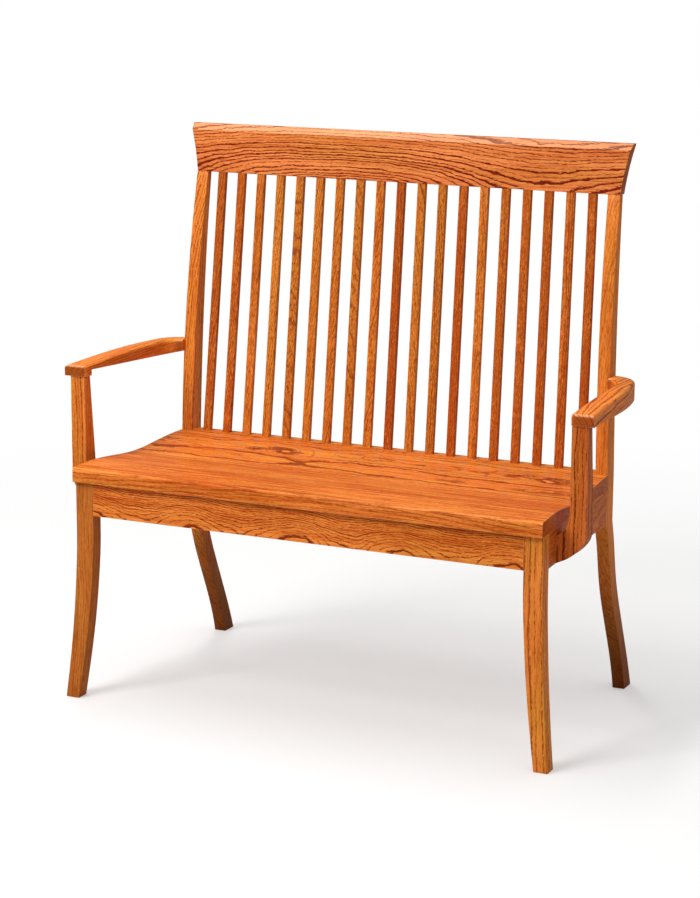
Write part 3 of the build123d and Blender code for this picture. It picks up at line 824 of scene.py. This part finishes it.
@dataclass
class Slats:
    """Nineteen slats that lean back with the crest rail and in with the posts."""

    count: int = 19
    pitch: float = 44.5635 * MILLIMETRE
    half_span: float = 433.0 * MILLIMETRE
    width: float = 17.0 * MILLIMETRE
    thickness: float = 10.0 * MILLIMETRE
    foot_y: float = (391.0 - FRAME_MIDDLE) * MILLIMETRE
    head_y: float = (445.5 - FRAME_MIDDLE) * MILLIMETRE
    foot_z: float = 462.5 * MILLIMETRE
    head_z: float = 980.0 * MILLIMETRE
    narrowing: float = 10.0 * MILLIMETRE
    easing: float = 1.6 * MILLIMETRE
    corner_steps: int = 3
    hidden: float = 2.0 * MILLIMETRE
    seed: int = 7
    finish: Oak = Oak(
        "slat_stained_oak", Lie.UPRIGHT, (0.06, 0.02, 0.5), tilt=(2.0, 3.0), stain=AMBER,
        ring=3.8, sway=5.0, ripple=1.3, ripple_length=30.0, bands=0.6,
        hairs=0.6, streaks=0.72, bars="slat_tone",
    )

    def pattern(self) -> Pattern:
        """Tree that sets an eased bar between the two rails for each slat.

        Returns:
            The tree with its sizes.
        """
        pattern = Pattern("slat_row")
        bench = pattern.bench
        count = pattern.size("Count", self.count, "NodeSocketInt")
        pitch = pattern.size("Pitch", self.pitch)
        width = pattern.size("Width", self.width)
        thickness = pattern.size("Thickness", self.thickness)
        easing = pattern.size("Easing", self.easing)
        foot_y = pattern.size("Foot Y", self.foot_y)
        head_y = pattern.size("Head Y", self.head_y)
        foot_z = pattern.size("Foot Z", self.foot_z)
        head_z = pattern.size("Head Z", self.head_z)
        closing = pattern.size("Narrowing Share", self.narrowing / self.half_span)
        hidden = pattern.size("Hidden End", self.hidden)
        seed = pattern.size("Seed", self.seed, "NodeSocketInt")
        material = pattern.size("Material", self.finish.material(), "NodeSocketMaterial")

        place = bench.add("GeometryNodeInputIndex")
        foot_x = (place - (count - 1) * 0.5) * pitch
        foot = bench.vector(foot_x, foot_y + thickness * 0.5, foot_z)
        head = bench.vector(foot_x * (1 - closing), head_y + thickness * 0.5, head_z)
        way = bench.on_vectors("SUBTRACT", head, foot)
        long = bench.on_vectors("LENGTH", way)
        sunk = bench.scaled(bench.on_vectors("NORMALIZE", way), hidden)
        start = bench.on_vectors("SUBTRACT", foot, sunk)

        line = bench.add("GeometryNodeMeshLine", {"mode": "OFFSET"}, {"Count": count})
        points = bench.add("GeometryNodeSetPosition", None, {"Geometry": line, "Position": start})
        section = bench.add(
            "GeometryNodeCurvePrimitiveQuadrilateral", {"mode": "RECTANGLE"},
            {"Width": width, "Height": thickness},
        )
        section = bench.add(
            "GeometryNodeFilletCurve", {"mode": "POLY"},
            {"Curve": section, "Radius": easing, "Count": self.corner_steps},
        )
        axis = bench.add(
            "GeometryNodeCurvePrimitiveLine", {"mode": "POINTS"},
            {"Start": (0, 0, 0), "End": (0, 0, 1)},
        )
        bar = bench.add(
            "GeometryNodeCurveToMesh", None,
            {"Curve": axis, "Profile Curve": section, "Fill Caps": True},
        )
        turn = bench.add("FunctionNodeAlignRotationToVector", {"axis": "Z"}, {"Vector": way})
        stretch = bench.vector(1.0, 1.0, long + hidden * 2)
        row = bench.add(
            "GeometryNodeInstanceOnPoints", None,
            {"Points": points, "Instance": bar, "Rotation": turn, "Scale": stretch},
        )
        tone = bench.add("FunctionNodeRandomValue", {"data_type": "FLOAT"}, {"Seed": seed}, 1)
        row = bench.add(
            "GeometryNodeStoreNamedAttribute", {"data_type": "FLOAT", "domain": "INSTANCE"},
            {"Geometry": row, "Name": self.finish.bars, "Value": tone},
        )
        pattern.finish(row, material)
        return pattern

    def build(self) -> bpy.types.Object:
        """Make the row of slats in place of the plain ones.

        Returns:
            The piece.
        """
        piece = self.pattern().make("back_slats", bpy.data.meshes.new("slat_start"))
        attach(piece, BODY)
        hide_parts(*(f"slat_{number:02d}" for number in range(1, self.count + 1)))
        LOG.info("back_slats: %d faces", len(piece.data.polygons))
        return piece


@dataclass(frozen=True)
class Fixing:
    """One screw: where its head starts, the way it goes and its length, in metres."""

    start: Point
    way: Point
    length: float

    def mirrored(self) -> "Fixing":
        """The same screw on the left-hand side."""
        x, y, z = self.start
        return Fixing((-x, y, z), (-self.way[0], self.way[1], self.way[2]), self.length)


def both_sides(fixings: tuple[Fixing, ...]) -> tuple[Fixing, ...]:
    """The same screws on the right and then on the left."""
    return fixings + tuple(fixing.mirrored() for fixing in fixings)


@dataclass
class Screws:
    """Round-headed screws of the frame, each with a slot and a thread."""

    head_width: float = 9.0 * MILLIMETRE
    head_height: float = 3.0 * MILLIMETRE
    shank_width: float = 4.5 * MILLIMETRE
    slot_width: float = 1.1 * MILLIMETRE
    slot_depth: float = 1.5 * MILLIMETRE
    turns: float = 14.0
    thread: float = 0.5 * MILLIMETRE
    head_sides: int = 24
    head_rings: int = 12
    shank_sides: int = 12
    shank_rings: int = 40
    block_screws: tuple[Fixing, ...] = (
        Fixing((0.41509, -0.21735, 0.409), (0, -1, 0), 0.04604),
        Fixing((0.43618, -0.19605, 0.409), (1, 0, 0), 0.03055),
        Fixing((0.40684, 0.09293, 0.409), (0, 1, 0), 0.03168),
        Fixing((0.42888, 0.07173, 0.409), (1, 0, 0), 0.02412),
    )
    seat_screws: tuple[Fixing, ...] = (
        Fixing((0.43561, -0.23287, 0.394), (0, 0, 1), 0.047),
        Fixing((0.42543, 0.09765, 0.394), (0, 0, 1), 0.047),
    )
    brace_screws: tuple[Fixing, ...] = (
        Fixing((0.0, -0.16239, 0.394), (0, 0, 1), 0.047),
        Fixing((0.0, -0.00639, 0.394), (0, 0, 1), 0.047),
    )
    post_screws: tuple[Fixing, ...] = (
        Fixing((0.45207, -0.17324, 0.384), (1, 0, 0), 0.038),
        Fixing((0.45207, -0.17324, 0.404), (1, 0, 0), 0.038),
    )
    finish: Steel = Steel()

    def pattern(self) -> Pattern:
        """Tree that sets a screw on each point, the way its attribute says.

        Returns:
            The tree with its sizes.
        """
        pattern = Pattern("screw_set")
        bench = pattern.bench
        head_width = pattern.size("Head Width", self.head_width)
        head_height = pattern.size("Head Height", self.head_height)
        shank_width = pattern.size("Shank Width", self.shank_width)
        slot_width = pattern.size("Slot Width", self.slot_width)
        slot_depth = pattern.size("Slot Depth", self.slot_depth)
        turns = pattern.size("Thread Turns", self.turns)
        thread = pattern.size("Thread Depth", self.thread)
        material = pattern.size("Material", self.finish.material(), "NodeSocketMaterial")

        ball = bench.add(
            "GeometryNodeMeshUVSphere", None,
            {"Segments": self.head_sides, "Rings": self.head_rings, "Radius": 1.0}, "Mesh",
        )
        where = bench.add("GeometryNodeInputPosition").parts()
        flat = where[2].ramp(-1, 0, -1, 0, smooth=False)
        dome = bench.vector(
            where[0] * head_width * 0.5, where[1] * head_width * 0.5, (flat + 1) * head_height
        )
        ball = bench.add("GeometryNodeSetPosition", None, {"Geometry": ball, "Position": dome})
        cut_size = bench.vector(head_width * 2, slot_width, slot_depth * 2)
        cut = bench.add("GeometryNodeMeshCube", None, {"Size": cut_size}, "Mesh")
        head = bench.add(
            "GeometryNodeMeshBoolean", {"operation": "DIFFERENCE", "solver": "EXACT"},
            {"Mesh 1": ball, "Mesh 2": cut}, "Mesh",
        )
        sides = {"Vertices": self.shank_sides, "Side Segments": self.shank_rings}
        rod = bench.add(
            "GeometryNodeMeshCylinder", {"fill_type": "NGON"},
            sides | {"Radius": 1.0, "Depth": 1.0}, "Mesh",
        )
        where = bench.add("GeometryNodeInputPosition").parts()
        angle = bench.add("ShaderNodeMath", {"operation": "ARCTAN2"}, {0: where[1], 1: where[0]})
        wave = (where[2] * turns * math.tau - angle).sine()
        radius = shank_width * 0.5 - thread * 0.5 + wave * thread * 0.5
        shank = bench.vector(where[0] * radius, where[1] * radius, where[2] + 0.5)
        rod = bench.add("GeometryNodeSetPosition", None, {"Geometry": rod, "Position": shank})
        way = bench.add(
            "GeometryNodeInputNamedAttribute", {"data_type": "FLOAT_VECTOR"}, {"Name": "way"}
        )
        reach = bench.add(
            "GeometryNodeInputNamedAttribute", {"data_type": "FLOAT"}, {"Name": "reach"}
        )
        turn = bench.add("FunctionNodeAlignRotationToVector", {"axis": "Z"}, {"Vector": way})
        ahead = bench.scaled(way, slot_depth)
        inner = bench.add(
            "GeometryNodeSetPosition", None, {"Geometry": pattern.source(), "Offset": ahead}
        )
        heads = bench.add(
            "GeometryNodeInstanceOnPoints", None,
            {"Points": pattern.source(), "Instance": head, "Rotation": turn},
        )
        long = bench.vector(1.0, 1.0, reach - slot_depth)
        shanks = bench.add(
            "GeometryNodeInstanceOnPoints", None,
            {"Points": inner, "Instance": rod, "Rotation": turn, "Scale": long},
        )
        pattern.finish(bench.add("GeometryNodeJoinGeometry", None, {0: [heads, shanks]}), material)
        return pattern

    def points(self, name: str, fixings: Sequence[Fixing]) -> bpy.types.Mesh:
        """Mesh of loose points that carry the way and reach of their screws.

        Args:
            name: Name of the mesh.
            fixings: The screws.

        Returns:
            The mesh.
        """
        mesh = bpy.data.meshes.new(name)
        mesh.from_pydata([fixing.start for fixing in fixings], [], [])
        mesh.attributes.new("way", "FLOAT_VECTOR", "POINT")
        mesh.attributes.new("reach", "FLOAT", "POINT")
        for index, fixing in enumerate(fixings):
            mesh.attributes["way"].data[index].vector = fixing.way
            mesh.attributes["reach"].data[index].value = fixing.length
        return mesh

    def build(self) -> None:
        """Make the three sets of screws in place of the plain ones."""
        sets = {
            "corner_block_screws": both_sides(self.block_screws),
            "seat_screws": both_sides(self.seat_screws) + self.brace_screws,
            "arm_post_screws": both_sides(self.post_screws),
        }
        pattern = self.pattern()
        for node, fixings in sets.items():
            piece = pattern.make(f"{node}_threaded", self.points(f"{node}_points", fixings))
            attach(piece, BODY)
            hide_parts(node)
            LOG.info("%s: %d faces", piece.name, len(piece.data.polygons))


@dataclass(frozen=True)
class Panel:
    """One soft light: its place, the point it faces, its two widths in metres and its power."""

    name: str
    place: Point
    target: Point
    width: float
    depth: float
    watts: float


@dataclass
class Studio:
    """Floor, light and camera, with lengths in metres and the camera's angles in radians."""

    eye: Point = (1.97066, -4.20436, 1.51033)
    yaw: float = 0.44348
    pitch: float = 0.21720
    roll: float = 0.00598
    focal_pixels: float = 2482.99
    sensor_width: float = 36.0
    farthest: float = 200.0
    horizon_strength: float = 0.18
    zenith_strength: float = 0.66
    zenith_height: float = 0.9
    right_share: float = 1.4
    right_start: float = -0.3
    right_end: float = 0.8
    floor_radius: float = 14.0
    floor_sides: int = 96
    fade_start: float = 0.6
    fade_end: float = 2.6
    fade_least: float = 0.35
    grit_scale: float = 60.0
    panels: tuple[Panel, ...] = (
        Panel("key", (-1.5, -3.1, 3.5), (0.0, 0.0, 0.5), 1.7, 1.7, 120.0),
        Panel("top", (-0.9, -0.05, 3.1), (-0.4, 0.0, 0.5), 2.4, 0.4, 30.0),
    )

    def camera(self) -> None:
        """Make the camera at the photograph's angle."""
        data = bpy.data.cameras.new("photo_camera")
        data.sensor_width = self.sensor_width
        data.lens = self.focal_pixels * data.sensor_width / max(PHOTO_SIZE)
        data.clip_end = self.farthest
        camera = linked("photo_camera", data)
        level = Vector((math.cos(self.yaw), math.sin(self.yaw), 0))
        ahead = Vector((
            -math.sin(self.yaw) * math.cos(self.pitch),
            math.cos(self.yaw) * math.cos(self.pitch),
            -math.sin(self.pitch),
        ))
        upright = level.cross(ahead)
        right = level * math.cos(self.roll) + upright * math.sin(self.roll)
        up = right.cross(ahead)
        turn = Matrix((right, up, -ahead)).transposed().to_4x4()
        camera.matrix_world = Matrix.Translation(Vector(self.eye)) @ turn
        bpy.context.scene.camera = camera

    def lamp(self, panel: Panel) -> None:
        """Make a soft light.

        Args:
            panel: What the light is like.
        """
        data = bpy.data.lights.new(panel.name, "AREA")
        data.shape = "RECTANGLE"
        data.size = panel.width
        data.size_y = panel.depth
        data.energy = panel.watts
        lamp = linked(panel.name, data)
        place = Vector(panel.place)
        turn = (Vector(panel.target) - place).to_track_quat("-Z", "Y").to_matrix().to_4x4()
        lamp.matrix_world = Matrix.Translation(place) @ turn

    def world(self) -> None:
        """Pale even light from all round, plain white to the camera."""
        world = bpy.data.worlds.new("studio_world")
        bench = shading(world)
        camera_ray = bench.add("ShaderNodeLightPath", None, None, "Is Camera Ray")
        rightwards, _, height = bench.add("ShaderNodeTexCoord", None, None, "Generated").parts()
        glow = height.ramp(0.0, self.zenith_height, self.horizon_strength, self.zenith_strength)
        glow = glow * rightwards.ramp(self.right_start, self.right_end, 1.0, self.right_share)
        strength = camera_ray * (1 - glow) + glow
        sockets = {"Color": (1, 1, 1, 1), "Strength": strength}
        back = bench.add("ShaderNodeBackground", None, sockets)
        bench.add("ShaderNodeOutputWorld", None, {"Surface": back})
        bpy.context.scene.world = world

    def floor(self) -> None:
        """Pale floor that fades into the white background."""
        mesh = bpy.data.meshes.new("studio_floor")
        form = bmesh.new()
        bmesh.ops.create_circle(
            form, cap_ends=True, segments=self.floor_sides, radius=self.floor_radius
        )
        form.to_mesh(mesh)
        form.free()
        floor = linked("studio_floor", mesh)
        material = bpy.data.materials.new("studio_floor_white")
        bench = shading(material)
        spot = bench.add("ShaderNodeTexCoord", None, None, "Object")
        away = bench.on_vectors("LENGTH", spot)
        camera_ray = bench.add("ShaderNodeLightPath", None, None, "Is Camera Ray")
        fade = away.ramp(self.fade_start, self.fade_end, self.fade_least, 1.0) * camera_ray
        grains = {"Vector": spot, "Scale": self.grit_scale, "Detail": 2.0}
        grit = bench.add("ShaderNodeTexNoise", None, grains)
        tone = bench.blend(camera_ray, srgb(188, 187, 185), srgb(246, 246, 245))
        matt = bench.add(
            "ShaderNodeBsdfPrincipled", None,
            {"Base Color": tone, "Roughness": grit.ramp(0.3, 0.7, 0.6, 0.7), "IOR": 1.3},
        )
        white = bench.add("ShaderNodeEmission", None, {"Color": (1, 1, 1, 1), "Strength": 1.0})
        mixed = bench.add("ShaderNodeMixShader", None, {0: fade, 1: matt, 2: white})
        bench.add("ShaderNodeOutputMaterial", None, {"Surface": mixed})
        mesh.materials.append(material)

    def build(self) -> None:
        """Make the studio."""
        self.camera()
        self.world()
        self.floor()
        for panel in self.panels:
            self.lamp(panel)
        bpy.context.scene.view_settings.view_transform = "Standard"


def main() -> None:
    """Build the settle and its studio."""
    logging.basicConfig(level=logging.INFO, format="%(name)s %(message)s")
    Studio().build()
    Crest().build()
    Seat().build()
    Uprights().build()
    Arms().build()
    Slats().build()
    Screws().build()


if __name__ == "__main__":
    main()
